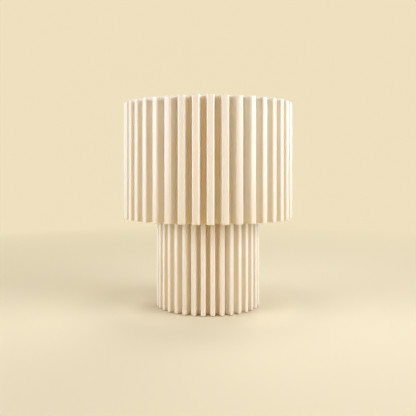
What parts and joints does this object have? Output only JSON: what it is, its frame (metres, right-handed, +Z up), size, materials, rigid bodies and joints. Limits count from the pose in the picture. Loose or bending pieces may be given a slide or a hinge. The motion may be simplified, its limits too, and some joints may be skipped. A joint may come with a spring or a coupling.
{
  "type": "ribbed table lamp",
  "caption": "Small table lamp with a wide ribbed drum shade that lifts off a narrower ribbed drum base, over a screw-in bulb.",
  "frame": {"origin": "centre of the footprint, on the surface that the lamp stands on", "axes": "+Z up along the axis of shade and base, -Y to the front that the picture shows, +Y to the cord inlet"},
  "size_m": [0.2, 0.2, 0.239],
  "materials": {
    "ivory_shell": "matt, fine layer lines",
    "white_holder": "moulded, satin",
    "white_steel": "powder coated",
    "black_steel": "powder coated",
    "zinc_steel": "zinc plated",
    "black_rubber": "matt",
    "cast_iron": "as cast",
    "steatite": "fired, unglazed",
    "brass": "bright",
    "nickel_cap": "bright",
    "opal_globe": "opal, matt",
    "bulb_white": "moulded, satin",
    "black_glass": "glassy",
    "solder": "soldered",
    "led_plate": "white mask",
    "circuit_board": "green mask"
  },
  "bodies": {
    "base": {"base_shell": "ivory_shell", "base_plate": "black_steel", "base_plate_screws": "zinc_steel", "rubber_feet": "black_rubber", "ballast_weight": "cast_iron", "ballast_screws": "zinc_steel", "cord_grommet": "black_rubber", "lampholder_body": "white_holder", "lampholder_cap": "white_holder", "upper_clamp_ring": "white_holder", "lower_clamp_ring": "white_holder", "contact_carrier": "steatite", "screw_shell": "brass", "centre_contact": "brass", "terminal_screws": "zinc_steel"},
    "shade": {"shade_shell": "ivory_shell", "shade_carrier": "white_steel", "carrier_screws": "zinc_steel"},
    "bulb_end": {"bulb_insulator": "black_glass", "bulb_contact": "solder"},
    "bulb": {"bulb_globe": "opal_globe", "bulb_housing": "bulb_white", "bulb_screw_cap": "nickel_cap", "bulb_led_plate": "led_plate", "bulb_driver_board": "circuit_board"}
  },
  "joints": [
    {"name": "shade_lift", "type": "slide", "parent": "base", "child": "shade", "axis": [0, 0, 1], "range_m": [0, 0.1]},
    {"name": "bulb_rise", "type": "slide", "parent": "base", "child": "bulb_end", "axis": [0, 0, 1], "range_m": [0, 0.01634]},
    {"name": "bulb_turn", "type": "hinge", "parent": "bulb_end", "child": "bulb", "pos_m": [0, 0, 0.1103], "axis": [0, 0, 1], "range_deg": [0, 1620]}
  ],
  "couplings": [
    {"joint": "bulb_rise", "follows": "bulb_turn", "m_per_rad": 0.00057757}
  ]
}
